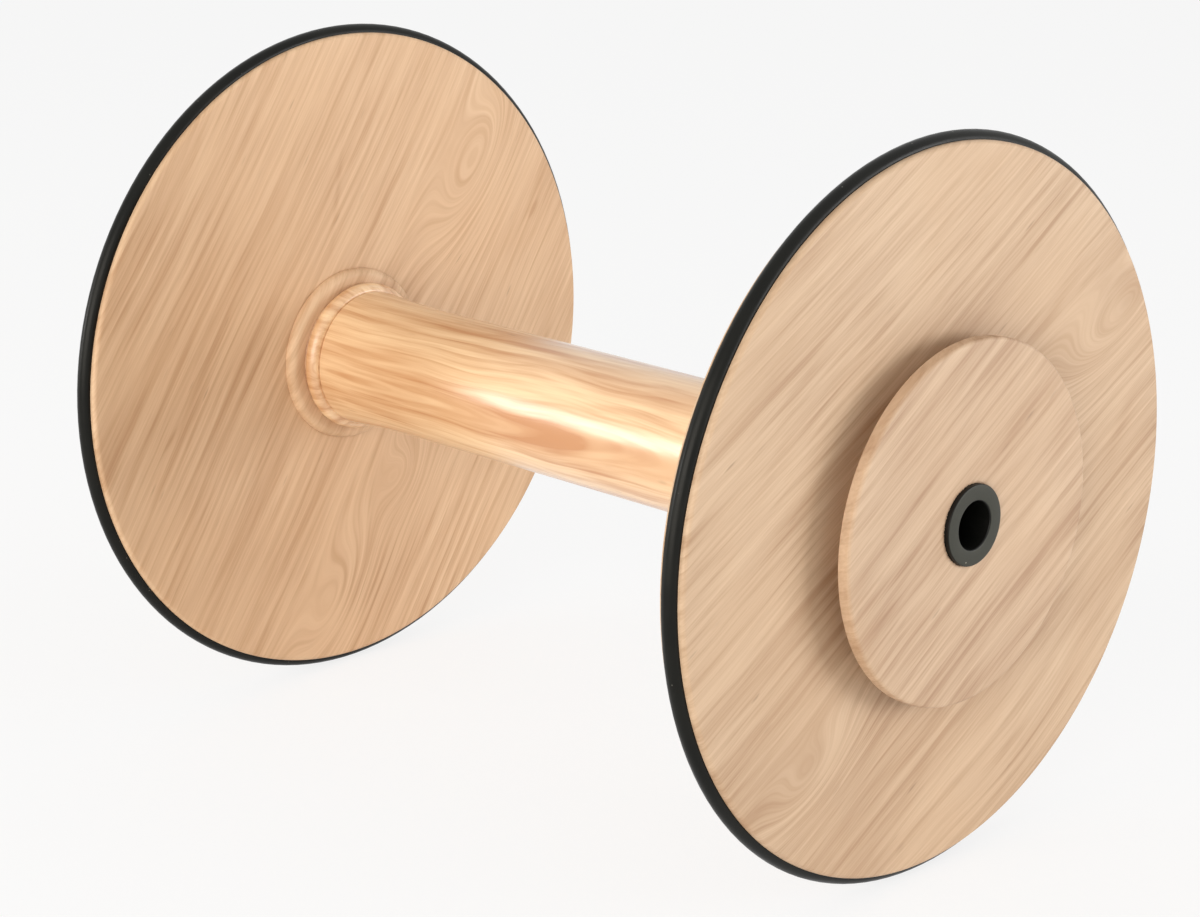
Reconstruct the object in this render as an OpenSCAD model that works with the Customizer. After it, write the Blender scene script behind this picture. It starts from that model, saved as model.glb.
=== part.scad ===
// Spinning wheel bobbin: two rimmed wooden end discs on a turned, bored core.
// The turning axis lies along Y. The whorl end points to -Y, and +Z is up.
// The origin is on the axis, midway between the outer ends of the two bushes.

/* [Shaft] */
// Diameter of the flyer shaft that the bobbin turns on
shaft_d = 10; // [8:0.5:12]
// Running clearance on the diameter between shaft and bush
shaft_clearance = 0.1; // [0.05:0.05:0.4]

/* [End discs] */
// Diameter of each end disc
flange_d = 152; // [120:1:180]
// Thickness of each end disc
flange_t = 6.4; // [5.6:0.2:9]
// Radius that breaks the disc's edges
flange_edge_r = 0.9; // [0.3:0.1:1]

/* [Rim rings] */
// Thickness of the rubber ring's round cord
ring_cord_d = 3.6; // [2.8:0.1:4.2]
// Height that the ring stands proud of the disc's rim
ring_proud = 1.85; // [1.2:0.05:2.2]

/* [Core] */
// Free length of core between the two discs, where the yarn is wound
core_len = 172; // [120:1:220]
// Diameter of the core along its middle
core_d = 30; // [27:0.5:36]
// Diameter of the core's body where it ends at the bead
core_end_d = 31.8; // [30:0.1:38]
// Length over which the body swells to that diameter
core_swell_len = 20; // [10:1:30]
// Chamfer on the body's end, beside the bead
core_end_chamfer = 0.6; // [0.2:0.1:1.5]
// Diameter of the hole drilled through the core
core_bore_d = 13; // [12.5:0.5:14]
// Diameter of the tenon that is glued through each disc
tenon_d = 24; // [21:0.5:25]
// Diameter over the turned bead
bead_d = 35; // [33:0.5:40]
// Width of the turned bead
bead_w = 4; // [3:0.5:6]
// Diameter of the shoulder that fills the collar
shoulder_d = 33; // [30:0.5:36]

/* [Collars] */
// Outer diameter of the collar round each end of the core
collar_d = 41; // [38:0.5:50]
// Height of the collar above the disc
collar_h = 2.4; // [1.6:0.1:4]
// Radius of the collar's rounded edge
collar_edge_r = 1.8; // [0.5:0.1:1.8]

/* [Whorl] */
// Diameter of the whorl's plate
whorl_d = 76; // [66:1:90]
// Height of the whorl above the disc
whorl_h = 8; // [7:0.2:12]
// Thickness of the whorl's plate at its rim
whorl_plate_t = 2.8; // [2.2:0.1:3.4]
// Slope in degrees of the plate's back, towards the bottom of the band groove
whorl_back_slope = 3; // [0:0.5:6]
// Diameter at the bottom of the band groove
whorl_neck_d = 56; // [48:1:60]
// Radius of the cove at the bottom of the band groove
whorl_cove_r = 1.4; // [0.5:0.1:1.5]
// Radius that breaks the plate's front edge
whorl_edge_r = 0.7; // [0.3:0.1:1]

/* [Bushes] */
// Outer diameter of the plastic bush
bush_d = 17; // [16:0.5:19]
// Length of the bush
bush_len = 20; // [17:0.5:26]
// Height that the bush stands proud of the wood
bush_proud = 1; // [0.4:0.1:2]
// Chamfer at the mouth of the bush's bore
bush_mouth_chamfer = 0.4; // [0.2:0.1:0.8]
// Chamfer on the bush's outer edges
bush_edge_chamfer = 0.3; // [0.1:0.1:0.6]

/* [Hidden] */

$fn = 160;
// Cutters reach this far past the faces that they cut
over = 1;
// Steps in the curve of the core's swelling ends
swell_steps = 8;

wood_pale = [0.84, 0.70, 0.55];
wood_core = [0.86, 0.64, 0.42];
rubber_black = [0.09, 0.09, 0.09];
plastic_black = [0.20, 0.20, 0.19];

overall_len = core_len + 2 * flange_t + whorl_h + 2 * bush_proud;
// Heights along the turning axis, which is Z until the pieces are laid down
whorl_end_z = overall_len / 2;
whorl_face_z = whorl_end_z - bush_proud;
whorl_disc_outer_z = whorl_face_z - whorl_h;
whorl_disc_inner_z = whorl_disc_outer_z - flange_t;
end_disc_inner_z = whorl_disc_inner_z - core_len;
end_disc_outer_z = end_disc_inner_z - flange_t;

bush_bore_r = (shaft_d + shaft_clearance) / 2;
bush_r = bush_d / 2;
flange_r = flange_d / 2;
tenon_r = tenon_d / 2;
ring_cord_r = ring_cord_d / 2;
ring_centre_r = flange_r + ring_proud - ring_cord_r;
whorl_r = whorl_d / 2;
neck_r = whorl_neck_d / 2;
bead_r = bead_w / 2;
bead_centre_r = bead_d / 2 - bead_r;
core_mid_r = core_d / 2;
core_end_r = core_end_d / 2;
// Heights above a disc's inner face, the same at both ends of the core
bead_end_h = collar_h + bead_w;
swell_start_h = bead_end_h + core_end_chamfer;

// Lay a piece that was turned about Z down along Y, with its +Z end to -Y
module lay_down() {
    rotate([90, 0, 0]) children();
}

// Region to cut from an outer corner at the origin that points to +X and +Y
module corner_round(r) {
    translate([-r, -r])
    difference() {
        square(r + over);
        circle(r);
    }
}

// Half section of a disc, centred on its mid thickness, with its ring groove
module disc_section() {
    difference() {
        translate([tenon_r, -flange_t / 2])
        square([flange_r - tenon_r, flange_t]);
        translate([ring_centre_r, 0])
        circle(ring_cord_r);
        translate([flange_r, flange_t / 2])
        corner_round(flange_edge_r);
        mirror([0, 1])
        translate([flange_r, flange_t / 2])
        corner_round(flange_edge_r);
    }
}

// End disc with its centre plane at height z
module disc_at(z) {
    lay_down()
    translate([0, 0, z])
    rotate_extrude()
    disc_section();
}

module whorl_disc() {
    color(wood_pale)
    disc_at((whorl_disc_outer_z + whorl_disc_inner_z) / 2);
}

module end_disc() {
    color(wood_pale)
    disc_at((end_disc_outer_z + end_disc_inner_z) / 2);
}

// Rubber ring seated in the groove of the disc centred at height z
module ring_at(z) {
    color(rubber_black)
    lay_down()
    translate([0, 0, z])
    rotate_extrude()
    translate([ring_centre_r, 0])
    circle(ring_cord_r);
}

module whorl_side_rim_ring() {
    ring_at((whorl_disc_outer_z + whorl_disc_inner_z) / 2);
}

module end_rim_ring() {
    ring_at((end_disc_outer_z + end_disc_inner_z) / 2);
}

// Half section of one end of the core, from its mid length outwards. Height
// is measured from the disc's inner face and grows towards the middle.
module core_end_section() {
    translate([0, -flange_t])
    square([tenon_r, flange_t + over]);
    square([shoulder_d / 2, collar_h]);
    translate([0, collar_h])
    square([bead_centre_r, bead_w]);
    translate([bead_centre_r, collar_h + bead_r])
    circle(bead_r);
    polygon(concat(
        [[0, bead_end_h - bead_r],
            [bead_centre_r, bead_end_h - bead_r],
            [core_end_r - core_end_chamfer, bead_end_h],
            [core_end_r, swell_start_h]],
        [for (i = [1:swell_steps])
            [core_mid_r + (core_end_r - core_mid_r) * (1 - sin(90 * i / swell_steps)),
                swell_start_h + core_swell_len * i / swell_steps]],
        [[core_mid_r, core_len / 2],
            [0, core_len / 2]]));
}

// Seat drilled for a bush, from the disc's outer face inwards by depth
module bush_seat(outer_z, depth, toward) {
    translate([0, 0, outer_z + toward * over])
    mirror([0, 0, toward > 0 ? 1 : 0])
    cylinder(r = bush_r, h = depth + over);
}

module core() {
    color(wood_core)
    lay_down()
    difference() {
        union() {
            translate([0, 0, end_disc_inner_z])
            rotate_extrude()
            core_end_section();
            translate([0, 0, whorl_disc_inner_z])
            mirror([0, 0, 1])
            rotate_extrude()
            core_end_section();
        }
        translate([0, 0, end_disc_outer_z - over])
        cylinder(d = core_bore_d, h = core_len + 2 * flange_t + 2 * over);
        bush_seat(whorl_disc_outer_z, bush_len - bush_proud - whorl_h, 1);
        bush_seat(end_disc_outer_z, bush_len - bush_proud, -1);
    }
}

// Collar standing on a disc's inner face, round the core's shoulder
module collar_section() {
    difference() {
        translate([shoulder_d / 2, 0])
        square([(collar_d - shoulder_d) / 2, collar_h]);
        translate([collar_d / 2, collar_h])
        corner_round(collar_edge_r);
    }
}

module whorl_side_collar() {
    color(wood_pale)
    lay_down()
    translate([0, 0, whorl_disc_inner_z])
    mirror([0, 0, 1])
    rotate_extrude()
    collar_section();
}

module end_collar() {
    color(wood_pale)
    lay_down()
    translate([0, 0, end_disc_inner_z])
    rotate_extrude()
    collar_section();
}

// The whorl is glued on the disc's outer face. Its plate overhangs a neck,
// and the disc itself is the other wall of the band groove.
module whorl_section() {
    back_drop = (whorl_r - neck_r) * tan(whorl_back_slope);
    plate_back_h = whorl_h - whorl_plate_t;
    difference() {
        translate([bush_r, 0])
        square([whorl_r - bush_r, whorl_h]);
        difference() {
            polygon([
                [neck_r, -over],
                [whorl_r + over, -over],
                [whorl_r + over, plate_back_h + over * tan(whorl_back_slope)],
                [neck_r, plate_back_h - back_drop]]);
            polygon([
                [neck_r - over, plate_back_h - back_drop - whorl_cove_r],
                [neck_r, plate_back_h - back_drop - whorl_cove_r],
                [neck_r + whorl_cove_r, plate_back_h - back_drop + whorl_cove_r * tan(whorl_back_slope)],
                [neck_r + whorl_cove_r, plate_back_h + over],
                [neck_r - over, plate_back_h + over]]);
        }
        translate([whorl_r, whorl_h])
        corner_round(whorl_edge_r);
    }
}

module whorl() {
    color(wood_pale)
    lay_down()
    translate([0, 0, whorl_disc_outer_z])
    rotate_extrude()
    whorl_section();
}

// Half section of a bush, from its outer end at height zero inwards
module bush_section() {
    polygon([
        [bush_bore_r + bush_mouth_chamfer, 0],
        [bush_r - bush_edge_chamfer, 0],
        [bush_r, bush_edge_chamfer],
        [bush_r, bush_len],
        [bush_bore_r, bush_len],
        [bush_bore_r, bush_mouth_chamfer]]);
}

module whorl_side_bush() {
    color(plastic_black)
    lay_down()
    translate([0, 0, whorl_end_z])
    mirror([0, 0, 1])
    rotate_extrude()
    bush_section();
}

module end_bush() {
    color(plastic_black)
    lay_down()
    translate([0, 0, -overall_len / 2])
    rotate_extrude()
    bush_section();
}

core();
whorl_disc();
end_disc();
whorl_side_collar();
end_collar();
whorl();
whorl_side_rim_ring();
end_rim_ring();
whorl_side_bush();
end_bush();
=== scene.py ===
"""Spinning wheel bobbin, dressed for its photograph.

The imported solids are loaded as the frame. The wooden pieces and the bushes are
turned again here with finer edges and the marks that a lathe, a drill and a
press fit leave, and every piece gets a procedural finish. Lengths are in
metres in the frame's own axes: the bobbin turns about Y, its whorl end is at
-Y, and +Z is up.
"""

from __future__ import annotations

import logging
import math
from collections.abc import Callable, Iterable, Sequence
from dataclasses import dataclass, field
from enum import Enum

import bpy
from mathutils import Matrix, Vector


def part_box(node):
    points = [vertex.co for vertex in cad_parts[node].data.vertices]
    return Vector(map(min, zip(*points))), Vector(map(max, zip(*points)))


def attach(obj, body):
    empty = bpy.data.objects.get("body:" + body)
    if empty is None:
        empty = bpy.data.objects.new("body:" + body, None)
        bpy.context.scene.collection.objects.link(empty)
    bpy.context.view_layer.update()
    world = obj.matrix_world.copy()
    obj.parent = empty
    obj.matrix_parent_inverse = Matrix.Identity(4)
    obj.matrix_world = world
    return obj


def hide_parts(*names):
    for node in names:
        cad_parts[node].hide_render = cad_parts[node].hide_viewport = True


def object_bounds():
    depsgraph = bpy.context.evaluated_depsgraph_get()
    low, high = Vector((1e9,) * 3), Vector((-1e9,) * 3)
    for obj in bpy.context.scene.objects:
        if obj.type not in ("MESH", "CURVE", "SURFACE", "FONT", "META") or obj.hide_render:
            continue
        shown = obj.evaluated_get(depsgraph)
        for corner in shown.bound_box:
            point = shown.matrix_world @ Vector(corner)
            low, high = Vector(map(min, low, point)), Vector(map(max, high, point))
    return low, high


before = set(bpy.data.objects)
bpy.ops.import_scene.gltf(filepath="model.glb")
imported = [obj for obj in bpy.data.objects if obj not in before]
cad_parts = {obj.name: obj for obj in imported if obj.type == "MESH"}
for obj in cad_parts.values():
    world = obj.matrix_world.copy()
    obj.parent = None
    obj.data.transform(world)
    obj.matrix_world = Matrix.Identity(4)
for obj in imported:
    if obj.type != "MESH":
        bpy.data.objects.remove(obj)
CAD_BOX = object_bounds()

LOG = logging.getLogger("bobbin")
MM = 0.001

Point = tuple[float, float]
Colour = tuple[float, float, float]


def tone(red: int, green: int, blue: int) -> Colour:
    """Turn a colour written in 0 to 255 steps into the linear one that shaders take.

    Args:
        red: Red, 0 to 255.
        green: Green, 0 to 255.
        blue: Blue, 0 to 255.

    Returns:
        The linear colour.
    """

    def linear(step: int) -> float:
        """Undo the display curve for one channel."""
        c = step / 255
        return c / 12.92 if c <= 0.04045 else ((c + 0.055) / 1.055) ** 2.4

    return (linear(red), linear(green), linear(blue))


class Slot(Enum):
    """The record's material slots."""

    PALE = "pale_wood"
    LACQUERED = "lacquered_wood"
    RUBBER = "black_rubber"
    PLASTIC = "black_plastic"


# ---------------------------------------------------------------------------
# Shader nodes
# ---------------------------------------------------------------------------


class Graph:
    """Adds nodes to one node tree, with plain numbers or sockets as inputs."""

    def __init__(self, tree: bpy.types.NodeTree) -> None:
        """Keep the tree that nodes are added to."""
        self.tree = tree

    def add(self, kind: str, **settings: object) -> bpy.types.Node:
        """Add a node.

        Args:
            kind: The node's type name, without the ShaderNode in front.
            settings: Properties set on the node.

        Returns:
            The new node.
        """
        node = self.tree.nodes.new("ShaderNode" + kind)
        for name, value in settings.items():
            setattr(node, name, value)
        return node

    def feed(self, socket: bpy.types.NodeSocket, value: object) -> None:
        """Link a socket, or set a plain value on it.

        Args:
            socket: The input to feed.
            value: An output socket, a number, or a colour or vector.
        """
        if isinstance(value, bpy.types.NodeSocket):
            self.tree.links.new(value, socket)
        elif value is not None:
            if isinstance(value, tuple) and len(value) == 3 and socket.type == "RGBA":
                value = (*value, 1.0)
            socket.default_value = value

    def maths(self, operation: str, a: object, b: object = None, c: object = None, clamp: bool = False) -> bpy.types.NodeSocket:
        """Add a Math node and return its value."""
        node = self.add("Math", operation=operation, use_clamp=clamp)
        for socket, value in zip(node.inputs, (a, b, c)):
            self.feed(socket, value)
        return node.outputs[0]

    def span(self, value: object, low: float, high: float, to_low: float = 0.0, to_high: float = 1.0) -> bpy.types.NodeSocket:
        """Ease a value from one range to another, clamped at both ends."""
        node = self.add("MapRange", interpolation_type="SMOOTHSTEP")
        for name, number in zip(("Value", "From Min", "From Max", "To Min", "To Max"), (value, low, high, to_low, to_high)):
            self.feed(node.inputs[name], number)
        return node.outputs["Result"]

    def noise(self, vector: object, scale: object, detail: float = 2.0, roughness: float = 0.5, distortion: float = 0.0) -> bpy.types.NodeSocket:
        """Add a Noise texture and return its value."""
        node = self.add("TexNoise", noise_dimensions="3D")
        for name, value in (("Vector", vector), ("Scale", scale), ("Detail", detail), ("Roughness", roughness), ("Distortion", distortion)):
            self.feed(node.inputs[name], value)
        return node.outputs["Fac"]

    def cells(self, vector: object, scale: object, randomness: float = 1.0) -> tuple[bpy.types.NodeSocket, bpy.types.NodeSocket]:
        """Add a Voronoi texture and return its distance and its colour."""
        node = self.add("TexVoronoi", voronoi_dimensions="3D")
        for name, value in (("Vector", vector), ("Scale", scale), ("Randomness", randomness)):
            self.feed(node.inputs[name], value)
        return node.outputs["Distance"], node.outputs["Color"]

    def split(self, vector: object) -> list[bpy.types.NodeSocket]:
        """Return a vector's three parts."""
        node = self.add("SeparateXYZ")
        self.feed(node.inputs[0], vector)
        return list(node.outputs)

    def join(self, x: object, y: object, z: object) -> bpy.types.NodeSocket:
        """Return a vector made of three parts."""
        node = self.add("CombineXYZ")
        for socket, value in zip(node.inputs, (x, y, z)):
            self.feed(socket, value)
        return node.outputs[0]

    def blend(self, share: object, a: object, b: object, way: str = "MIX") -> bpy.types.NodeSocket:
        """Mix two colours by a share."""
        node = self.add("Mix", data_type="RGBA", blend_type=way)
        self.feed(node.inputs[0], share)
        self.feed(node.inputs[6], a)
        self.feed(node.inputs[7], b)
        return node.outputs[2]

    def bump(self, height: object, strength: float, distance: float, normal: object = None) -> bpy.types.NodeSocket:
        """Turn a height into a normal."""
        node = self.add("Bump")
        for name, value in (("Height", height), ("Strength", strength), ("Distance", distance), ("Normal", normal)):
            self.feed(node.inputs[name], value)
        return node.outputs["Normal"]

    def object_point(self) -> bpy.types.NodeSocket:
        """Return the surface point in the frame's axes, in metres."""
        return self.add("TexCoord").outputs["Object"]


@dataclass(frozen=True)
class Recipe:
    """A shared shader group: its name, its sockets and how it is wired."""

    name: str
    inputs: tuple[tuple[str, str, object], ...]
    outputs: tuple[tuple[str, str], ...]
    wire: Callable[[Graph, dict[str, bpy.types.NodeSocket]], dict[str, object]]

    def group(self) -> bpy.types.NodeTree:
        """Return the group, built the first time that it is asked for."""
        found = bpy.data.node_groups.get(self.name)
        if found is not None:
            return found
        tree = bpy.data.node_groups.new(self.name, "ShaderNodeTree")
        for name, kind, value in self.inputs:
            socket = tree.interface.new_socket(name, in_out="INPUT", socket_type="NodeSocket" + kind)
            if value is not None:
                socket.default_value = value
        for name, kind in self.outputs:
            tree.interface.new_socket(name, in_out="OUTPUT", socket_type="NodeSocket" + kind)
        graph = Graph(tree)
        taken = tree.nodes.new("NodeGroupInput")
        given = tree.nodes.new("NodeGroupOutput")
        made = self.wire(graph, {name: taken.outputs[name] for name, _, _ in self.inputs})
        for name, socket in made.items():
            graph.feed(given.inputs[name], socket)
        return tree

    def use(self, graph: Graph, **values: object) -> dict[str, bpy.types.NodeSocket]:
        """Place the group in a material.

        Args:
            graph: The material's graph.
            values: A value or socket for each input, with _ for a space.

        Returns:
            The group's outputs by name.
        """
        node = graph.add("Group", node_tree=self.group())
        for name, value in values.items():
            graph.feed(node.inputs[name.replace("_", " ")], value)
        return {socket.name: socket for socket in node.outputs}


def wire_turned_point(g: Graph, given: dict[str, bpy.types.NodeSocket]) -> dict[str, object]:
    """Give a point's distance from the turning axis and its place along it."""
    x, y, z = g.split(given["Point"])
    radius = g.maths("SQRT", g.maths("ADD", g.maths("MULTIPLY", x, x), g.maths("MULTIPLY", z, z)))
    return {"Radius": radius, "Along": y}


def wire_grain_point(g: Graph, given: dict[str, bpy.types.NodeSocket]) -> dict[str, object]:
    """Turn a point into lengths along the grain, through the board and across it.

    The lines wander slowly to the side, as grain does.
    """
    turned = g.add("VectorRotate", rotation_type="Y_AXIS")
    g.feed(turned.inputs["Vector"], given["Point"])
    g.feed(turned.inputs["Angle"], given["Turn"])
    along, through, across = g.split(turned.outputs[0])
    seeded = g.add("VectorMath", operation="ADD")
    g.feed(seeded.inputs[0], turned.outputs[0])
    g.feed(seeded.inputs[1], given["Seed"])
    drawn = g.add("VectorMath", operation="MULTIPLY")
    g.feed(drawn.inputs[0], seeded.outputs[0])
    g.feed(drawn.inputs[1], (0.5, 1.0, 1.0))
    slow = g.maths("SUBTRACT", g.noise(drawn.outputs[0], 14.0, 1.0), 0.5)
    quick = g.maths("SUBTRACT", g.noise(drawn.outputs[0], 75.0, 2.0), 0.5)
    drift = g.maths("MULTIPLY", given["Wander"], g.maths("ADD", slow, g.maths("MULTIPLY", quick, 0.12)))
    return {"Along": along, "Through": through, "Across": g.maths("ADD", across, drift)}


def wire_swirl(g: Graph, given: dict[str, bpy.types.NodeSocket]) -> dict[str, object]:
    """A low mound in the growth layers, which the face cuts as a swirl or an arch."""
    u = g.maths("DIVIDE", g.maths("SUBTRACT", given["Along"], given["At Along"]), given["Length"])
    v = g.maths("DIVIDE", g.maths("SUBTRACT", given["Across"], given["At Across"]), given["Width"])
    square = g.maths("ADD", g.maths("MULTIPLY", u, u), g.maths("MULTIPLY", v, v))
    return {"Rise": g.maths("MULTIPLY", g.maths("EXPONENT", g.maths("MULTIPLY", square, -1.0)), given["Height"])}


def wire_wood_figure(g: Graph, given: dict[str, bpy.types.NodeSocket]) -> dict[str, object]:
    """Growth rings, fibres, short ray flecks and broad clouds of solid wood."""
    along, through, layer = given["Along"], given["Through"], given["Layer"]
    crowd = g.noise(g.join(g.maths("MULTIPLY", along, 5.0), g.maths("MULTIPLY", layer, 90.0), through), 1.0, 2.0)
    ring = g.maths("FRACT", g.maths("MULTIPLY_ADD", crowd, 2.2, g.maths("DIVIDE", layer, given["Ring Gap"])))
    late = g.maths("MULTIPLY", g.maths("POWER", ring, 2.2), g.span(ring, 0.90, 1.0, 1.0, 0.0))
    ring_tone = g.maths("MULTIPLY", late, g.span(g.noise(given["Point"], 30.0, 1.0), 0.35, 0.62))
    grain = g.join(along, layer, through)

    def streak(length: float, width: float, detail: float) -> bpy.types.NodeSocket:
        """Noise drawn out along the grain, its features so long and so wide."""
        scaled = g.add("VectorMath", operation="MULTIPLY")
        g.feed(scaled.inputs[0], grain)
        g.feed(scaled.inputs[1], (1 / length, 1 / width, 0.4 / width))
        return g.noise(scaled.outputs[0], 1.0, detail, 0.55)

    dart = g.add("VectorMath", operation="MULTIPLY")
    g.feed(dart.inputs[0], grain)
    g.feed(dart.inputs[1], (1 / 0.0085, 1 / 0.0013, 1 / 0.004))
    near, own = g.cells(dart.outputs[0], 1.0)
    pick = g.span(g.split(own)[0], 0.82, 1.0)
    crowded = g.span(g.noise(given["Point"], 34.0, 1.0), 0.40, 0.60)
    fleck = g.maths("MULTIPLY", g.maths("MULTIPLY", g.span(near, 0.04, 0.30, 1.0, 0.0), pick), crowded)
    return {
        "Ring": ring_tone,
        "Broad": streak(0.10, 0.0065, 2.0),
        "Middle": streak(0.045, 0.0017, 2.0),
        "Fine": streak(0.014, 0.00042, 2.0),
        "Fleck": fleck,
        "Cloud": g.noise(given["Point"], 22.0, 2.0, 0.5),
    }


def wire_mark(g: Graph, given: dict[str, bpy.types.NodeSocket]) -> dict[str, object]:
    """One spindle-shaped streak, soft at its sides and drawn out at its ends."""
    moved = g.add("VectorMath", operation="SUBTRACT")
    g.feed(moved.inputs[0], given["Point"])
    g.feed(moved.inputs[1], given["Middle"])
    turned = g.add("VectorRotate", rotation_type="Y_AXIS")
    g.feed(turned.inputs["Vector"], moved.outputs[0])
    g.feed(turned.inputs["Angle"], given["Turn"])
    along, _, across = g.split(turned.outputs[0])
    u = g.maths("DIVIDE", along, given["Length"])
    v = g.maths("DIVIDE", across, given["Width"])
    square = g.maths("ADD", g.maths("MULTIPLY", u, u), g.maths("MULTIPLY", v, v))
    return {"Mask": g.maths("EXPONENT", g.maths("MULTIPLY", square, -4.0))}


TURNED_POINT = Recipe("turned_point", (("Point", "Vector", None),), (("Radius", "Float"), ("Along", "Float")), wire_turned_point)
GRAIN_POINT = Recipe(
    "grain_point",
    (("Point", "Vector", None), ("Turn", "Float", 0.0), ("Seed", "Vector", None), ("Wander", "Float", 0.01)),
    (("Along", "Float"), ("Through", "Float"), ("Across", "Float")),
    wire_grain_point,
)
SWIRL = Recipe(
    "swirl",
    tuple((name, "Float", 0.01) for name in ("Along", "Across", "At Along", "At Across", "Length", "Width", "Height")),
    (("Rise", "Float"),),
    wire_swirl,
)
MARK = Recipe(
    "streak_mark",
    (("Point", "Vector", None), ("Middle", "Vector", None), ("Turn", "Float", 0.0), ("Length", "Float", 0.01), ("Width", "Float", 0.001)),
    (("Mask", "Float"),),
    wire_mark,
)
WOOD_FIGURE = Recipe(
    "wood_figure",
    (("Point", "Vector", None), ("Along", "Float", 0.0), ("Through", "Float", 0.0), ("Layer", "Float", 0.0), ("Ring Gap", "Float", 0.003)),
    (("Ring", "Float"), ("Broad", "Float"), ("Middle", "Float"), ("Fine", "Float"), ("Fleck", "Float"), ("Cloud", "Float")),
    wire_wood_figure,
)


def new_material(name: str) -> tuple[bpy.types.Material, Graph, bpy.types.Node]:
    """Make a node material.

    Args:
        name: The material's name.

    Returns:
        The material, its graph and its shader.
    """
    material = bpy.data.materials.new(name)
    material.use_nodes = True
    material.node_tree.nodes.clear()
    graph = Graph(material.node_tree)
    shader = graph.add("BsdfPrincipled")
    output = graph.add("OutputMaterial")
    graph.feed(output.inputs["Surface"], shader.outputs[0])
    return material, graph, shader


@dataclass(frozen=True)
class Swirl:
    """A swirl in the figure: its place, its size and how strongly it bends the lines.

    Attributes:
        x: Place across the face.
        z: Place up the face.
        length: Reach along the grain.
        width: Reach across the grain.
        height: How far the growth layers rise.
    """

    x: float
    z: float
    length: float
    width: float
    height: float


@dataclass(frozen=True)
class Mark:
    """A single dark streak in the wood: place, angle, size and depth of tone."""

    x: float
    z: float
    turn: float
    length: float
    width: float
    depth: float


@dataclass(frozen=True)
class BoardFinish:
    """Pale close-grained board, sanded and waxed.

    Attributes:
        name: The material's name.
        light: Colour of the early wood.
        dark: Colour of the rings and the dark streaks.
        grain_turn: Degrees from +X up towards +Z that the grain runs at.
        seed: Shifts the noise, so that no two boards match.
        swirls: Swirls and arches in the figure.
        marks: Single dark streaks.
        ring_gap: Mean distance between growth rings.
        wander: How far the grain wanders to the side.
        contrast: Strength of the figure.
    """

    name: str
    light: Colour
    dark: Colour
    grain_turn: float
    seed: tuple[float, float, float]
    swirls: tuple[Swirl, ...] = ()
    marks: tuple[Mark, ...] = ()
    ring_gap: float = 3.0 * MM
    wander: float = 9 * MM
    contrast: float = 1.0

    def layer(self, g: Graph, lines: dict[str, bpy.types.NodeSocket]) -> bpy.types.NodeSocket:
        """Return the depth in the growth layers, with the swirls in it."""
        turn = math.radians(self.grain_turn)
        layer = g.maths("MULTIPLY_ADD", lines["Through"], 0.35, lines["Across"])
        for swirl in self.swirls:
            along = swirl.x * math.cos(turn) + swirl.z * math.sin(turn)
            across = swirl.z * math.cos(turn) - swirl.x * math.sin(turn)
            rise = SWIRL.use(
                g,
                Along=lines["Along"],
                Across=lines["Across"],
                At_Along=along * MM,
                At_Across=across * MM,
                Length=swirl.length * MM,
                Width=swirl.width * MM,
                Height=swirl.height * MM,
            )
            layer = g.maths("ADD", layer, rise["Rise"])
        return layer

    def build(self) -> bpy.types.Material:
        """Return the material."""
        material, g, shader = new_material(self.name)
        point = g.object_point()
        lines = GRAIN_POINT.use(g, Point=point, Turn=math.radians(self.grain_turn), Seed=self.seed, Wander=self.wander)
        figure = WOOD_FIGURE.use(
            g, Point=point, Along=lines["Along"], Through=lines["Through"], Layer=self.layer(g, lines), Ring_Gap=self.ring_gap
        )
        shade = g.maths("MULTIPLY", figure["Ring"], 0.42 * self.contrast)
        for mask, low, high, weight in (("Broad", 0.40, 0.72, 0.42), ("Middle", 0.36, 0.74, 0.40), ("Fine", 0.32, 0.76, 0.30)):
            shade = g.maths("ADD", shade, g.span(figure[mask], low, high, 0.0, weight * self.contrast))
        for mark in self.marks:
            spot = MARK.use(
                g,
                Point=point,
                Middle=(mark.x * MM, 0.0, mark.z * MM),
                Turn=math.radians(mark.turn),
                Length=mark.length * MM,
                Width=mark.width * MM,
            )
            broken = g.maths("MULTIPLY", spot["Mask"], g.span(figure["Middle"], 0.25, 0.6, 0.45, 1.0))
            shade = g.maths("MULTIPLY_ADD", broken, mark.depth, shade)
        colour = g.blend(g.maths("MINIMUM", shade, 1.6), self.light, self.dark)
        cloudy = tuple(c * f for c, f in zip(self.light, (0.98, 0.93, 0.87)))
        colour = g.blend(g.span(figure["Cloud"], 0.3, 0.7, 0.0, 0.35), colour, cloudy)
        colour = g.blend(g.maths("MULTIPLY", figure["Fleck"], 0.5), colour, tuple(c * 0.6 for c in self.dark))
        g.feed(shader.inputs["Base Color"], colour)
        g.feed(shader.inputs["Roughness"], g.span(figure["Fine"], 0.3, 0.7, 0.46, 0.60))
        shader.inputs["Specular IOR Level"].default_value = 0.35
        height = g.maths("ADD", g.maths("MULTIPLY", figure["Fine"], 0.7), g.maths("MULTIPLY", figure["Middle"], 0.3))
        g.feed(shader.inputs["Normal"], g.bump(height, 0.35, 0.00006))
        return material


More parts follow.
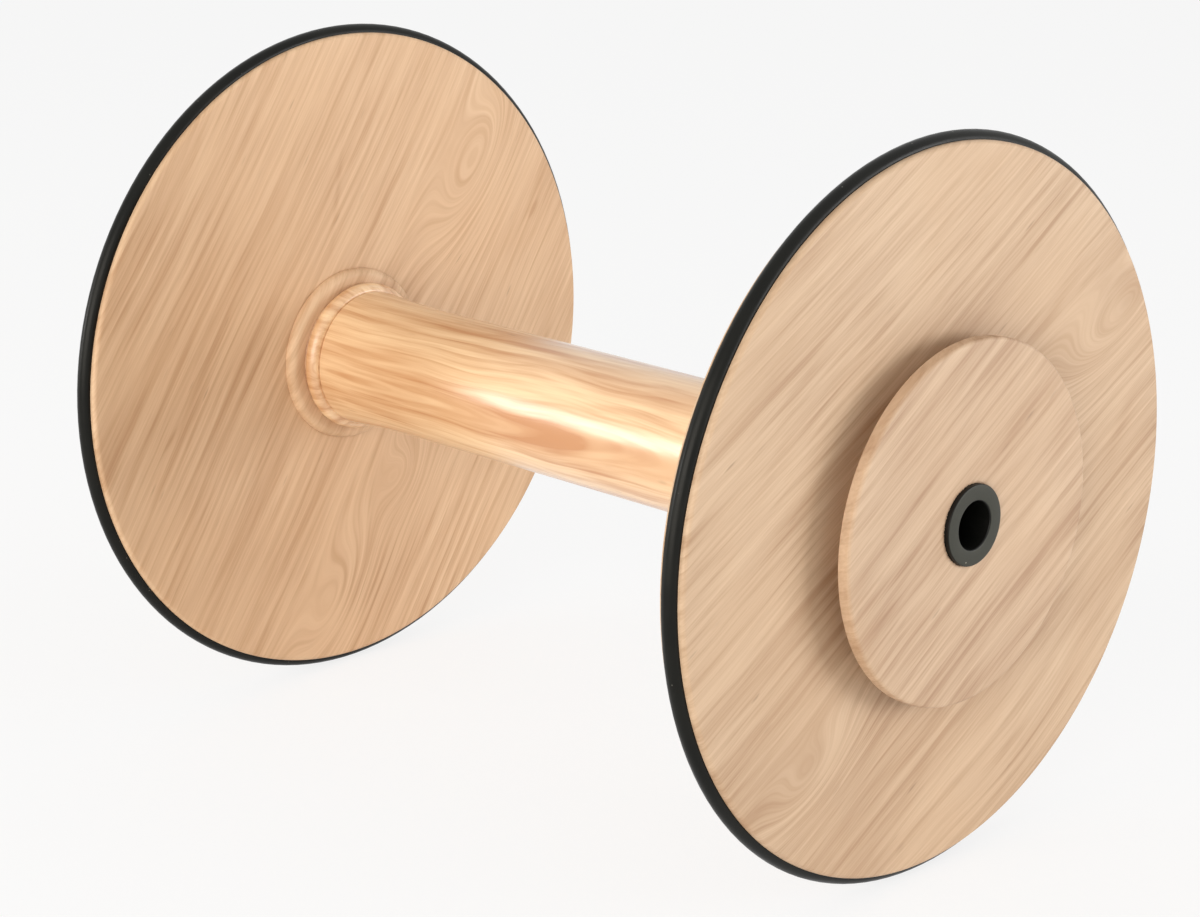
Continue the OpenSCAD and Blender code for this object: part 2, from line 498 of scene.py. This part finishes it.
@dataclass(frozen=True)
class CoreFinish:
    """Turned, strongly streaked wood under a satin lacquer, bare on its ends.

    Attributes:
        name: The material's name.
        light: Colour between the streaks.
        dark: Colour of the streaks.
        lacquered: Where along the core the lacquer starts and stops.
    """

    name: str
    light: Colour
    dark: Colour
    lacquered: tuple[float, float]

    def build(self) -> bpy.types.Material:
        """Return the material."""
        material, g, shader = new_material(self.name)
        point = g.object_point()
        x, y, z = g.split(point)
        drawn = g.join(x, g.maths("MULTIPLY", y, 0.4), z)
        slow = g.maths("SUBTRACT", g.noise(drawn, 45.0, 2.0), 0.5)
        side = g.maths("MULTIPLY_ADD", slow, 0.007, z)
        depth = g.maths("MULTIPLY_ADD", y, 0.035, g.maths("ADD", x, 0.012))
        layer = g.maths("SQRT", g.maths("ADD", g.maths("MULTIPLY", side, side), g.maths("MULTIPLY", depth, depth)))
        figure = WOOD_FIGURE.use(g, Point=point, Along=y, Through=x, Layer=layer, Ring_Gap=3.1 * MM)
        shade = g.maths("MULTIPLY", figure["Ring"], 0.50)
        for mask, low, high, weight in (("Broad", 0.38, 0.66, 0.50), ("Middle", 0.36, 0.72, 0.42), ("Fine", 0.32, 0.76, 0.18)):
            shade = g.maths("ADD", shade, g.span(figure[mask], low, high, 0.0, weight))
        colour = g.blend(g.maths("MINIMUM", shade, 1.3), self.light, self.dark)
        colour = g.blend(g.maths("MULTIPLY", figure["Fleck"], 0.6), colour, tuple(c * 0.55 for c in self.dark))
        g.feed(shader.inputs["Base Color"], colour)
        g.feed(shader.inputs["Roughness"], g.span(figure["Fine"], 0.3, 0.7, 0.36, 0.48))
        low, high = self.lacquered
        inside = g.maths("MULTIPLY", g.maths("GREATER_THAN", y, low), g.maths("LESS_THAN", y, high))
        g.feed(shader.inputs["Coat Weight"], inside)
        shader.inputs["Coat Roughness"].default_value = 0.22
        shader.inputs["Coat IOR"].default_value = 1.5
        g.feed(shader.inputs["Normal"], g.bump(figure["Fine"], 0.25, 0.00005))
        return material


@dataclass(frozen=True)
class RubberFinish:
    """Black rubber cord with a dull skin and a little dust."""

    name: str
    base: Colour = tone(17, 17, 14)

    def build(self) -> bpy.types.Material:
        """Return the material."""
        material, g, shader = new_material(self.name)
        point = g.object_point()
        cloud = g.noise(point, 90.0, 3.0)
        grit = g.noise(point, 2600.0, 2.0)
        near, own = g.cells(point, 700.0)
        dust = g.maths("MULTIPLY", g.span(near, 0.05, 0.16, 1.0, 0.0), g.span(g.split(own)[1], 0.90, 0.98))
        colour = g.blend(g.span(cloud, 0.35, 0.7, 0.0, 0.5), self.base, tuple(c * 1.8 for c in self.base))
        colour = g.blend(g.maths("MULTIPLY", dust, 0.35), colour, tone(150, 148, 140))
        g.feed(shader.inputs["Base Color"], colour)
        g.feed(shader.inputs["Roughness"], g.span(g.maths("ADD", cloud, g.maths("MULTIPLY", grit, 0.3)), 0.5, 0.9, 0.30, 0.44))
        shader.inputs["Specular IOR Level"].default_value = 0.16
        g.feed(shader.inputs["Normal"], g.bump(grit, 0.2, 0.00004))
        return material


@dataclass(frozen=True)
class PlasticFinish:
    """Turned black plastic with fine tool rings and a few bright specks. Its end faces are a lighter grey that is a
    painted reflection, and its sides are a near black that is partly painted shade.
    """

    name: str
    # side: the plastic's black, darkened further as painted shade. face: a lighter grey that is a painted reflection
    # of bright surroundings.
    side: Colour = tone(14, 14, 12)
    face: Colour = tone(52, 52, 44)

    def build(self) -> bpy.types.Material:
        """Return the material."""
        material, g, shader = new_material(self.name)
        point = g.object_point()
        turned = TURNED_POINT.use(g, Point=point)
        rings = g.noise(g.join(g.maths("MULTIPLY", turned["Radius"], 5200.0), g.maths("MULTIPLY", turned["Along"], 5200.0), 0.0), 1.0, 2.0)
        grit = g.noise(point, 1900.0, 3.0)
        near, own = g.cells(point, 420.0)
        speck = g.maths("MULTIPLY", g.span(near, 0.06, 0.12, 1.0, 0.0), g.span(g.split(own)[0], 0.88, 0.93))
        # Painted reflection: surfaces that face along the axis get the lighter face grey with a random mottle, and the
        # sides get the darker side colour.
        normal = g.split(g.add("NewGeometry").outputs["Normal"])[1]
        painted_sheen_share = g.span(g.maths("ABSOLUTE", normal), 0.75, 0.98)
        mottled_sheen = g.blend(g.span(grit, 0.35, 0.7, 0.0, 0.5), self.face, tuple(c * 1.35 for c in self.face))
        colour = g.blend(painted_sheen_share, self.side, mottled_sheen)
        colour = g.blend(speck, colour, tone(170, 165, 150))
        g.feed(shader.inputs["Base Color"], colour)
        g.feed(shader.inputs["Roughness"], g.span(grit, 0.3, 0.7, 0.34, 0.48))
        shader.inputs["Specular IOR Level"].default_value = 0.22
        height = g.maths("ADD", g.maths("MULTIPLY", rings, 0.6), g.maths("MULTIPLY", grit, 0.4))
        g.feed(shader.inputs["Normal"], g.bump(height, 0.35, 0.00003))
        return material


# ---------------------------------------------------------------------------
# Modelling
# ---------------------------------------------------------------------------


def deselect_all() -> None:
    """Leave object mode with nothing selected."""
    if bpy.context.mode != "OBJECT":
        bpy.ops.object.mode_set(mode="OBJECT")
    bpy.ops.object.select_all(action="DESELECT")


def arc(centre: Point, radius: float, start: float, end: float, steps: int) -> list[Point]:
    """Points on an arc, both ends included.

    Args:
        centre: Centre as (radius, along).
        radius: The arc's radius.
        start: Angle of the first point, in degrees from +radius to +along.
        end: Angle of the last point.
        steps: Number of chords.

    Returns:
        The points.
    """
    angles = [math.radians(start + (end - start) * i / steps) for i in range(steps + 1)]
    return [(centre[0] + radius * math.cos(a), centre[1] + radius * math.sin(a)) for a in angles]


def turn_on_lathe(name: str, section: Sequence[Point], steps: int) -> bpy.types.Object:
    """Draw a closed half section point by point and spin it round the axis.

    Args:
        name: The piece's name.
        section: Points as (radius, along), in order round the section.
        steps: Steps in the full turn.

    Returns:
        The turned piece, at the origin, with its place in its mesh.
    """
    deselect_all()
    first = section[0]
    bpy.ops.mesh.primitive_plane_add(size=0.1 * MM, location=(first[0], first[1], 0.0))
    piece = bpy.context.object
    piece.name = piece.data.name = name
    bpy.ops.object.transform_apply(location=True, rotation=True, scale=True)
    bpy.ops.object.mode_set(mode="EDIT")
    bpy.ops.mesh.select_mode(type="VERT")
    bpy.ops.mesh.select_all(action="SELECT")
    bpy.ops.mesh.merge(type="CENTER")
    last = first
    for point in section[1:]:
        step = (point[0] - last[0], point[1] - last[1], 0.0)
        bpy.ops.mesh.extrude_vertices_move(TRANSFORM_OT_translate={"value": step})
        last = point
    bpy.ops.object.mode_set(mode="OBJECT")
    ends = (0, len(piece.data.vertices) - 1)
    for vertex in piece.data.vertices:
        vertex.select = vertex.index in ends
    bpy.ops.object.mode_set(mode="EDIT")
    bpy.ops.mesh.edge_face_add()
    bpy.ops.mesh.select_all(action="SELECT")
    bpy.ops.mesh.spin(steps=steps, angle=math.tau, center=(0, 0, 0), axis=(0, 1, 0))
    bpy.ops.mesh.select_all(action="SELECT")
    bpy.ops.mesh.remove_doubles(threshold=0.002 * MM)
    bpy.ops.mesh.normals_make_consistent(inside=False)
    bpy.ops.object.mode_set(mode="OBJECT")
    bpy.ops.object.shade_smooth_by_angle(angle=math.radians(32))
    return piece


def select_points(piece: bpy.types.Object, wanted: Callable[[Vector], bool]) -> None:
    """Enter edit mode with only some of a piece's points selected.

    Args:
        piece: The piece.
        wanted: Says whether a point is selected, by its place.
    """
    deselect_all()
    piece.select_set(True)
    bpy.context.view_layer.objects.active = piece
    bpy.ops.object.mode_set(mode="EDIT")
    bpy.ops.mesh.select_mode(type="VERT")
    bpy.ops.mesh.select_all(action="DESELECT")
    bpy.ops.object.mode_set(mode="OBJECT")
    for vertex in piece.data.vertices:
        vertex.select = wanted(vertex.co)
    bpy.ops.object.mode_set(mode="EDIT")


def radius_of(point: Vector) -> float:
    """A point's distance from the turning axis."""
    return math.hypot(point.x, point.z)


def dress(piece: bpy.types.Object, material: bpy.types.Material, replaced: str | None = None) -> None:
    """Give a piece its finish, its body and the node that it stands for.

    Args:
        piece: The piece.
        material: Its finish.
        replaced: The node that the piece stands for, if it isn't one itself.
    """
    piece.data.materials.clear()
    piece.data.materials.append(material)
    if replaced is not None:
        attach(piece, "root")
        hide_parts(replaced)
    LOG.info("%s: %d points, %s", piece.name, len(piece.data.vertices), material.name)


# ---------------------------------------------------------------------------
# The bobbin
# ---------------------------------------------------------------------------


@dataclass
class EndDisc:
    """One of the two boards that close the bobbin, with its rubber ring.

    Attributes:
        node: The board's node.
        ring_node: The ring's node.
        finish: The board's finish.
        rubber: The ring's finish.
        tenon_r: Radius of the hole for the core's tenon.
        edge_r: Radius that breaks the rim's edges.
        ring_r: Radius of the ring's cord.
        steps: Steps round the rim.
    """

    node: str
    ring_node: str
    finish: BoardFinish
    rubber: bpy.types.Material
    tenon_r: float = 12 * MM
    edge_r: float = 0.9 * MM
    ring_r: float = 1.8 * MM
    steps: int = 320

    def section(self) -> list[Point]:
        """Half section of the board, with the ring's groove."""
        low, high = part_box(self.node)
        near, far, rim = low.y, high.y, high.x
        ring_low, ring_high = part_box(self.ring_node)
        middle = (near + far) / 2
        centre = ring_high.x - self.ring_r
        groove_y = math.sqrt(self.ring_r**2 - (rim - centre) ** 2)
        swing = math.degrees(math.asin(groove_y / self.ring_r))
        start = 180 - swing if centre > rim else swing
        e, hole = self.edge_r, 0.15 * MM
        points = [(self.tenon_r, near + hole), (self.tenon_r + hole, near)]
        points += [(r * MM, near) for r in (30, 50, 66, 73)]
        points += arc((rim - e, near + e), e, -90, 0, 9)
        points += arc((centre, middle), self.ring_r, 360 - start, start, 14)
        points += arc((rim - e, far - e), e, 0, 90, 9)
        points += [(r * MM, far) for r in (73, 66, 50, 30)]
        points += [(self.tenon_r + hole, far), (self.tenon_r, far - hole)]
        return points

    def build(self) -> None:
        """Turn the board and dress it and its ring."""
        board = turn_on_lathe(self.node + "_board", self.section(), self.steps)
        dress(board, self.finish.build(), self.node)
        dress(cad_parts[self.ring_node], self.rubber)


@dataclass
class Core:
    """The turned, lacquered core, with its beads, shoulders and tenons.

    Attributes:
        node: The core's node.
        finish: Its finish.
    """

    node: str
    finish: CoreFinish
    steps: int = 200
    bore_r: float = 6.5 * MM
    seat_r: float = 8.5 * MM
    tenon_r: float = 12 * MM
    shoulder_r: float = 16.5 * MM
    collar_h: float = 2.4 * MM
    bead_r: float = 2 * MM
    bead_top_r: float = 17.5 * MM
    end_r: float = 15.9 * MM
    middle_r: float = 15 * MM
    swell: float = 20 * MM
    disc_t: float = 6.4 * MM
    seat_depths: tuple[float, float] = (11 * MM, 19 * MM)

    def half(self, inner: float, toward: float, seat: float) -> list[Point]:
        """Outer section of one end, from its end face to the middle.

        Args:
            inner: Place of the disc's inner face.
            toward: 1 if the middle lies towards +Y, and -1 if not.
            seat: Depth of the bush's seat from the disc's outer face.

        Returns:
            The points, from the bore at the seat's bottom outwards.
        """

        def at(height: float) -> float:
            """Place of a height above the disc's inner face."""
            return inner + toward * height

        nick = 0.15 * MM
        outer = -self.disc_t
        bead_c = self.bead_top_r - self.bead_r
        bead_mid = self.collar_h + self.bead_r
        body = self.collar_h + 2 * self.bead_r
        points = [(self.bore_r, at(outer + seat)), (self.seat_r, at(outer + seat)), (self.seat_r, at(outer))]
        points += [(self.tenon_r - nick, at(outer)), (self.tenon_r, at(outer + nick)), (self.tenon_r, at(0.0))]
        points += [(self.shoulder_r, at(0.0)), (self.shoulder_r, at(self.collar_h - nick)), (self.shoulder_r - nick, at(self.collar_h))]
        points += [(bead_c + 0.3 * MM, at(self.collar_h))]
        for i in range(1, 16):
            a = math.radians(-90 + 180 * i / 16)
            points.append((bead_c + self.bead_r * math.cos(a), at(bead_mid + self.bead_r * math.sin(a))))
        points.append((self.end_r - 0.9 * MM, at(body - 0.1 * MM)))
        for i in range(0, 7):
            a = math.radians(90 * i / 6)
            points.append((self.end_r - 0.6 * MM * (1 - math.sin(a)), at(body + 0.6 * MM * (1 - math.cos(a)))))
        for i in range(1, 17):
            share = i / 16
            radius = self.middle_r + (self.end_r - self.middle_r) * (1 - math.sin(math.pi / 2 * share))
            points.append((radius, at(body + 0.6 * MM + self.swell * share)))
        return points

    def build(self) -> None:
        """Turn the core and dress it."""
        low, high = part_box(self.node)
        near_in, far_in = low.y + self.disc_t, high.y - self.disc_t
        near = self.half(near_in, 1.0, self.seat_depths[0])
        far = self.half(far_in, -1.0, self.seat_depths[1])
        between = [(self.middle_r, near[-1][1] + (far[-1][1] - near[-1][1]) * i / 9) for i in range(1, 9)]
        core = turn_on_lathe("turned_core", near + between + far[::-1], self.steps)
        dress(core, self.finish.build(), self.node)


@dataclass
class Collar:
    """A low rounded collar that stands on a disc round the core's shoulder."""

    node: str
    material: bpy.types.Material
    toward: float
    bore_r: float = 16.5 * MM
    edge_r: float = 1.8 * MM
    steps: int = 200

    def build(self) -> None:
        """Turn the collar and dress it."""
        low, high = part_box(self.node)
        outer = (high.x - low.x) / 2
        foot, top = (low.y, high.y) if self.toward > 0 else (high.y, low.y)
        nick = 0.12 * MM
        points = [(self.bore_r, foot), (outer - nick, foot), (outer, foot + self.toward * nick)]
        for i in range(0, 13):
            a = math.radians(90 * i / 12)
            points.append((outer - self.edge_r * (1 - math.cos(a)), top - self.toward * self.edge_r * (1 - math.sin(a))))
        points += [(self.bore_r + nick, top), (self.bore_r, top - self.toward * nick)]
        collar = turn_on_lathe(self.node + "_ring", points, self.steps)
        dress(collar, self.material, self.node)


@dataclass
class Whorl:
    """The grooved whorl, with torn fibres round the drilled seat of its bush."""

    node: str
    finish: BoardFinish
    seat_r: float = 8.5 * MM
    neck_r: float = 28 * MM
    plate_t: float = 2.8 * MM
    cove_r: float = 1.4 * MM
    edge_r: float = 0.7 * MM
    steps: int = 480

    def section(self) -> list[Point]:
        """Half section of the whorl."""
        low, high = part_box(self.node)
        face, foot, rim = low.y, high.y, (high.x - low.x) / 2
        e, c = self.edge_r, self.cove_r
        back = face + self.plate_t
        deep = back + (rim - self.neck_r) * math.tan(math.radians(3))
        points = [(self.seat_r, foot), (self.neck_r, foot), (self.neck_r, deep + c)]
        points += arc((self.neck_r + c, deep + c), c, 180, 270, 8)[1:]
        points += [(rim - 0.2 * MM, back + 0.01 * MM), (rim, back - 0.2 * MM)]
        points += arc((rim - e, face + e), e, 0, -90, 8)
        points += [(r * MM, face) for r in (32, 24, 16, 11, 9.6, 9.1, 8.85)]
        points += [(8.68 * MM, face + 0.02 * MM), (8.56 * MM, face + 0.10 * MM), (8.5 * MM, face + 0.26 * MM), (8.5 * MM, face + 0.6 * MM)]
        return points

    def build(self) -> None:
        """Turn the whorl, tear its seat's edge and dress it."""
        whorl = turn_on_lathe(self.node + "_board", self.section(), self.steps)
        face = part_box(self.node)[0].y
        select_points(whorl, lambda p: 8.51 * MM < radius_of(p) < 8.9 * MM and p.y < face + 0.2 * MM)
        bpy.ops.transform.vertex_random(offset=0.16 * MM, uniform=0.0, normal=0.0, seed=11)
        deselect_all()
        dress(whorl, self.finish.build(), self.node)


@dataclass
class Bush:
    """A turned plastic bush pressed into its seat."""

    node: str
    material: bpy.types.Material
    outward: float
    bore_r: float = 5.05 * MM
    steps: int = 160

    def build(self) -> None:
        """Turn the bush and dress it."""
        low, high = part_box(self.node)
        outer = (high.x - low.x) / 2
        end, deep = (low.y, high.y) if self.outward < 0 else (high.y, low.y)
        inwards = -self.outward
        points = [(self.bore_r, deep), (self.bore_r, end + inwards * 0.4 * MM)]
        for i in range(1, 7):
            a = math.radians(90 * i / 6)
            points.append((self.bore_r + 0.4 * MM * (1 - math.cos(a)), end + inwards * 0.4 * MM * (1 - math.sin(a))))
        for i in range(0, 6):
            a = math.radians(90 * i / 5)
            points.append((outer - 0.3 * MM * (1 - math.sin(a)), end + inwards * 0.3 * MM * (1 - math.cos(a))))
        points += [(outer, (end + deep) / 2), (outer, deep)]
        bush = turn_on_lathe(self.node + "_sleeve", points, self.steps)
        dress(bush, self.material, self.node)


# ---------------------------------------------------------------------------
# The studio
# ---------------------------------------------------------------------------


@dataclass
class Studio:
    """White sweep, soft lamps and the camera of the photograph."""

    floor_z: float
    camera_at: tuple[float, float, float] = (-0.48483, -0.46511, 0.2017)
    look: tuple[float, float, float] = (0.68409, 0.66629, -0.29678)
    lens: float = 95.68

    def camera(self) -> None:
        """Place the camera where the photograph was taken from."""
        data = bpy.data.cameras.new("camera")
        data.sensor_fit = "HORIZONTAL"
        data.sensor_width = 36.0
        data.lens = self.lens
        data.clip_start, data.clip_end = 0.02, 50.0
        camera = bpy.data.objects.new("camera", data)
        bpy.context.scene.collection.objects.link(camera)
        forward = Vector(self.look).normalized()
        right = forward.cross(Vector((0, 0, 1))).normalized()
        up = right.cross(forward)
        turn = Matrix((right, up, -forward)).transposed().to_4x4()
        camera.matrix_world = Matrix.Translation(self.camera_at) @ turn
        bpy.context.scene.camera = camera

    def lamp(self, name: str, at: Vector, size: tuple[float, float], power: float, colour: Colour) -> None:
        """Hang one soft lamp that faces the bobbin.

        Args:
            name: The lamp's name.
            at: Its place.
            size: Its width and height.
            power: Its power in watts.
            colour: Its colour.
        """
        data = bpy.data.lights.new(name, "AREA")
        data.shape = "RECTANGLE"
        data.size, data.size_y = size
        data.energy = power
        data.color = colour
        lamp = bpy.data.objects.new(name, data)
        bpy.context.scene.collection.objects.link(lamp)
        lamp.location = at
        lamp.rotation_mode = "QUATERNION"
        lamp.rotation_quaternion = (-at).to_track_quat("-Z", "Y")

    def world(self, strength: float) -> None:
        """Light the scene from all round, and show white behind it.

        Args:
            strength: Strength of the light from all round.
        """
        world = bpy.data.worlds.new("white_room")
        bpy.context.scene.world = world
        world.use_nodes = True
        world.node_tree.nodes.clear()
        g = Graph(world.node_tree)
        path = g.add("LightPath")
        seen = g.maths("MAXIMUM", path.outputs["Is Camera Ray"], g.maths("MAXIMUM", path.outputs["Is Glossy Ray"], path.outputs["Is Transmission Ray"]))
        back = g.add("Background")
        g.feed(back.inputs["Color"], (1.0, 1.0, 1.0))
        g.feed(back.inputs["Strength"], g.maths("MULTIPLY_ADD", seen, 1.0 - strength, strength))
        output = g.add("OutputWorld")
        g.feed(output.inputs["Surface"], back.outputs[0])

    def floor(self) -> None:
        """Lay the white floor, which keeps a soft shadow."""
        deselect_all()
        bpy.ops.mesh.primitive_plane_add(size=8.0, location=(0, 0, self.floor_z))
        floor = bpy.context.object
        floor.name = "floor"
        bpy.ops.object.transform_apply(location=True, rotation=True, scale=True)
        material = bpy.data.materials.new("white_floor")
        material.use_nodes = True
        material.node_tree.nodes.clear()
        g = Graph(material.node_tree)
        plain = g.add("BsdfDiffuse")
        g.feed(plain.inputs["Color"], (0.92, 0.92, 0.92))
        glow = g.add("Emission")
        g.feed(glow.inputs["Color"], (1.0, 1.0, 1.0))
        path = g.add("LightPath")
        seen = g.maths("MAXIMUM", path.outputs["Is Camera Ray"], g.maths("MAXIMUM", path.outputs["Is Glossy Ray"], path.outputs["Is Transmission Ray"]))
        mixed = g.add("MixShader")
        g.feed(mixed.inputs[0], g.maths("MULTIPLY", seen, 0.80))
        g.feed(mixed.inputs[1], plain.outputs[0])
        g.feed(mixed.inputs[2], glow.outputs[0])
        output = g.add("OutputMaterial")
        g.feed(output.inputs["Surface"], mixed.outputs[0])
        floor.data.materials.append(material)

    def build(self) -> None:
        """Set up the view settings, camera, lamps, world and floor."""
        bpy.context.scene.view_settings.view_transform = "Standard"
        self.camera()
        self.lamp("side_softbox", Vector((-1.1, -0.30, 0.22)), (1.0, 0.9), 10.5, (1.0, 0.93, 0.83))
        self.lamp("front_softbox", Vector((0.50, -0.80, 0.02)), (0.6, 0.5), 5.5, (1.0, 1.0, 1.0))
        self.lamp("back_strip", Vector((-0.95, 0.88, 0.16)), (0.35, 0.35), 4.0, (1.0, 0.97, 0.92))
        self.world(0.60)
        self.floor()


def main() -> None:
    """Build the bobbin and its studio."""
    logging.basicConfig(level=logging.INFO, format="%(name)s: %(message)s")
    rubber = RubberFinish("ring_rubber").build()
    plastic = PlasticFinish("bush_plastic").build()
    near_wood = BoardFinish(
        "whorl_disc_wood",
        tone(212, 184, 154),
        tone(172, 138, 108),
        30.0,
        (1.3, 0.2, 4.1),
        swirls=(Swirl(62, 30, 26, 9, 17), Swirl(-38, -46, 16, 7, 9), Swirl(30, -62, 40, 14, 7)),
        marks=(Mark(36, 37, 41, 30, 6, 0.55), Mark(62, 6, 60, 20, 4, 0.25)),
    )
    whorl_wood = BoardFinish(
        "whorl_wood",
        tone(210, 182, 153),
        tone(170, 136, 108),
        32.0,
        (3.7, 1.2, 0.4),
        marks=(Mark(15, 18, 34, 20, 2.6, 0.5), Mark(-20, -4, 32, 16, 2.0, 0.3), Mark(22, -14, 36, 14, 1.6, 0.3)),
    )
    far_wood = BoardFinish(
        "end_disc_wood",
        tone(226, 193, 158),
        tone(188, 148, 112),
        56.0,
        (5.1, 2.2, 7.4),
        swirls=(Swirl(42, 40, 22, 9, 16), Swirl(-6, -62, 24, 9, 12), Swirl(16, -34, 10, 6, 8)),
        marks=(Mark(-55, -10, 52, 7, 0.9, 0.7), Mark(61, 25, 50, 4, 1.6, 0.8), Mark(-3, 40, 80, 22, 1.6, 0.3)),
    )
    core_wood = CoreFinish("core_wood", tone(246, 212, 168), tone(196, 138, 88), (-81.9 * MM, 89.9 * MM))
    collar_wood = far_wood.build()
    EndDisc("whorl_disc", "whorl_side_rim_ring", near_wood, rubber).build()
    EndDisc("end_disc", "end_rim_ring", far_wood, rubber).build()
    Core("core", core_wood).build()
    Collar("whorl_side_collar", collar_wood, 1.0).build()
    Collar("end_collar", collar_wood, -1.0).build()
    Whorl("whorl", whorl_wood).build()
    Bush("whorl_side_bush", plastic, -1.0).build()
    Bush("end_bush", plastic, 1.0).build()
    Studio(CAD_BOX[0].z).build()


if __name__ == "__main__":
    main()
